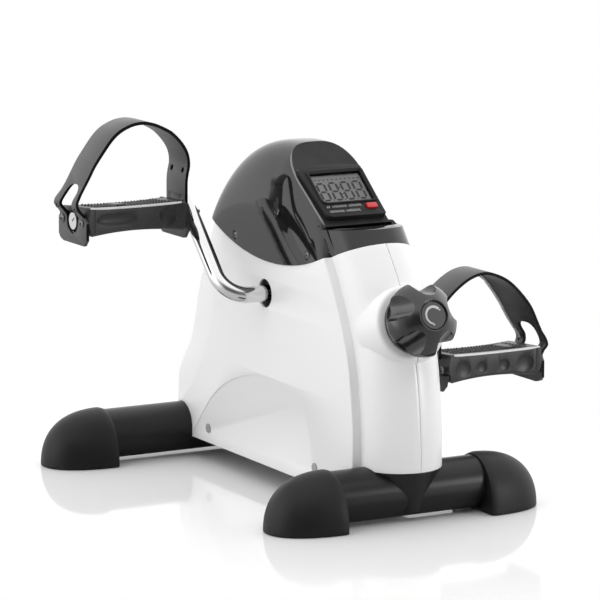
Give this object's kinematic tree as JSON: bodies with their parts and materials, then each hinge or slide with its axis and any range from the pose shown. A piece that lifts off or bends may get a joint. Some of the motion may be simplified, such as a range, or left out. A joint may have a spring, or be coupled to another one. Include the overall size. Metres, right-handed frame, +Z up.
{
  "type": "pedal exerciser",
  "caption": "Desk pedal exerciser: white moulded body on two tube stabilisers, bent chrome crank, strapped foot pedals, brake tension knob and a sloping display.",
  "frame": {"origin": "on the floor, under the middle of the bounding box", "axes": "+X is the user's right, -Y faces the user (tension knob and display), +Z is up"},
  "size_m": [0.4416, 0.4624, 0.3571],
  "materials": {
    "white_shell": "moulded, satin gloss",
    "gloss_black": "high gloss",
    "black_plastic": "fine texture",
    "strap_plastic": "smooth",
    "tube_black": "powder coat",
    "frame_paint": "powder coat",
    "cap_rubber": "matte",
    "tread_rubber": "ribbed",
    "cable_black": "matte",
    "chrome": "polished",
    "zinc_steel": "zinc plated",
    "drum_iron": "turned",
    "bronze": "sintered",
    "grey_plastic": "smooth",
    "knob_grey": "smooth",
    "clear_lens": "clear",
    "lcd_grey": "reflective film",
    "board_green": "solder mask",
    "cell_metal": "wrapped cell",
    "button_red": "smooth",
    "felt": "pressed felt"
  },
  "bodies": {
    "base": {"front_tube": "tube_black", "rear_tube": "tube_black", "front_left_cap": "cap_rubber", "front_right_cap": "cap_rubber", "rear_left_cap": "cap_rubber", "rear_right_cap": "cap_rubber", "front_neck": "black_plastic", "main_frame": "frame_paint", "front_bolts": "zinc_steel", "rear_bolts": "zinc_steel", "left_bearing": "bronze", "right_bearing": "bronze", "left_shell": "white_shell", "right_shell": "white_shell", "shell_screws": "zinc_steel", "left_plugs": "grey_plastic", "right_plugs": "grey_plastic", "top_cover": "gloss_black", "cover_screws": "zinc_steel", "display_housing": "black_plastic", "display_lens": "clear_lens", "lcd_panel": "lcd_grey", "circuit_board": "board_green", "battery": "cell_metal", "battery_door": "black_plastic", "brake_band": "zinc_steel", "brake_felt": "felt", "band_anchor": "zinc_steel", "tension_bracket": "zinc_steel", "knob_bush": "grey_plastic", "speed_sensor": "black_plastic", "sensor_cable": "cable_black"},
    "crank": {"crank_rod": "chrome", "brake_drum": "drum_iron", "axle_rings": "zinc_steel", "drum_magnet": "zinc_steel", "left_spindle": "chrome", "right_spindle": "chrome"},
    "left_foot_pedal": {"left_pedal": "black_plastic", "left_tread": "tread_rubber", "left_bushes": "bronze", "left_strap": "strap_plastic", "left_inner_plate": "black_plastic", "left_pedal_screws": "zinc_steel"},
    "right_foot_pedal": {"right_pedal": "black_plastic", "right_tread": "tread_rubber", "right_bushes": "bronze", "right_strap": "strap_plastic", "right_inner_plate": "black_plastic", "right_pedal_screws": "zinc_steel"},
    "knob": {"tension_knob": "black_plastic", "knob_cap": "knob_grey", "tension_bolt": "zinc_steel", "bolt_ring": "zinc_steel"},
    "nut": {"tension_nut": "zinc_steel"},
    "button": {"reset_button": "button_red"}
  },
  "joints": [
    {"name": "crank_spin", "type": "hinge", "parent": "base", "child": "crank", "pos_m": [0, 0.01229, 0.191], "axis": [1, 0, 0], "continuous": true},
    {"name": "left_pedal_spin", "type": "hinge", "parent": "crank", "child": "left_foot_pedal", "pos_m": [-0.1572, 0.08583, 0.26454], "axis": [1, 0, 0], "continuous": true},
    {"name": "right_pedal_spin", "type": "hinge", "parent": "crank", "child": "right_foot_pedal", "pos_m": [0.1572, -0.06125, 0.11746], "axis": [1, 0, 0], "continuous": true},
    {"name": "knob_turn", "type": "hinge", "parent": "base", "child": "knob", "pos_m": [0.0065, -0.17371, 0.184], "axis": [0, 0.9432, -0.3322], "range_deg": [0, 2160]},
    {"name": "nut_slide", "type": "slide", "parent": "base", "child": "nut", "axis": [0, -0.9432, 0.3322], "range_m": [0, 0.0075]},
    {"name": "button_press", "type": "slide", "parent": "base", "child": "button", "axis": [0, 0.6252, -0.7804], "range_m": [0, 0.001], "stiffness_N_per_m": 200}
  ],
  "couplings": [
    {"joint": "nut_slide", "follows": "knob_turn", "m_per_rad": 0.00019894}
  ]
}
